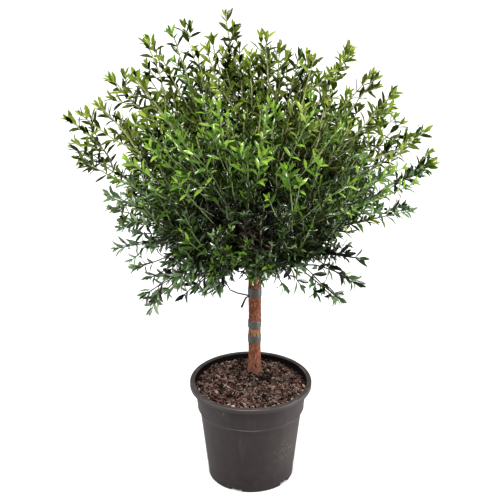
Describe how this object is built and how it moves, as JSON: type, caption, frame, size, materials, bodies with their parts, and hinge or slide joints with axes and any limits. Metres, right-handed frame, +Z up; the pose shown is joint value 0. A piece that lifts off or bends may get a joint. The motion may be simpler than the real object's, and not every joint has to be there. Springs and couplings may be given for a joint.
{
  "type": "potted myrtle standard",
  "caption": "Small evergreen shrub grown as a standard: a clear stem with soft ties, a dense round head of fine leafy shoots, in a round nursery pot of compost.",
  "frame": {"origin": "middle of the pot's flat underside, on the surface that the pot stands on", "axes": "+Z up the trunk; -Y towards the side that the picture shows; +X to the right in that view"},
  "size_m": [0.6994, 0.5911, 0.9331],
  "materials": {
    "pot": "matte",
    "compost": "matte",
    "bark": "matte",
    "tie": "matte",
    "foliage": "satin"
  },
  "bodies": {
    "root": {"pot": "pot", "compost": "compost", "trunk": "bark", "tie_low": "tie", "tie_mid": "tie", "tie_high": "tie", "bough_top": "bark", "bough_upper_1": "bark", "bough_upper_2": "bark", "bough_upper_3": "bark", "bough_upper_4": "bark", "bough_upper_5": "bark", "bough_upper_6": "bark", "bough_middle_1": "bark", "bough_middle_2": "bark", "bough_middle_3": "bark", "bough_middle_4": "bark", "bough_middle_5": "bark", "bough_middle_6": "bark", "bough_middle_7": "bark", "bough_middle_8": "bark", "bough_lower_1": "bark", "bough_lower_2": "bark", "bough_lower_3": "bark", "bough_lower_4": "bark", "bough_lower_5": "bark", "bough_lower_6": "bark", "bough_lower_7": "bark", "foliage_top": "foliage", "foliage_upper_1": "foliage", "foliage_upper_2": "foliage", "foliage_upper_3": "foliage", "foliage_upper_4": "foliage", "foliage_upper_5": "foliage", "foliage_upper_6": "foliage", "foliage_middle_1": "foliage", "foliage_middle_2": "foliage", "foliage_middle_3": "foliage", "foliage_middle_4": "foliage", "foliage_middle_5": "foliage", "foliage_middle_6": "foliage", "foliage_middle_7": "foliage", "foliage_middle_8": "foliage", "foliage_lower_1": "foliage", "foliage_lower_2": "foliage", "foliage_lower_3": "foliage", "foliage_lower_4": "foliage", "foliage_lower_5": "foliage", "foliage_lower_6": "foliage", "foliage_lower_7": "foliage"}
  },
  "joints": []
}
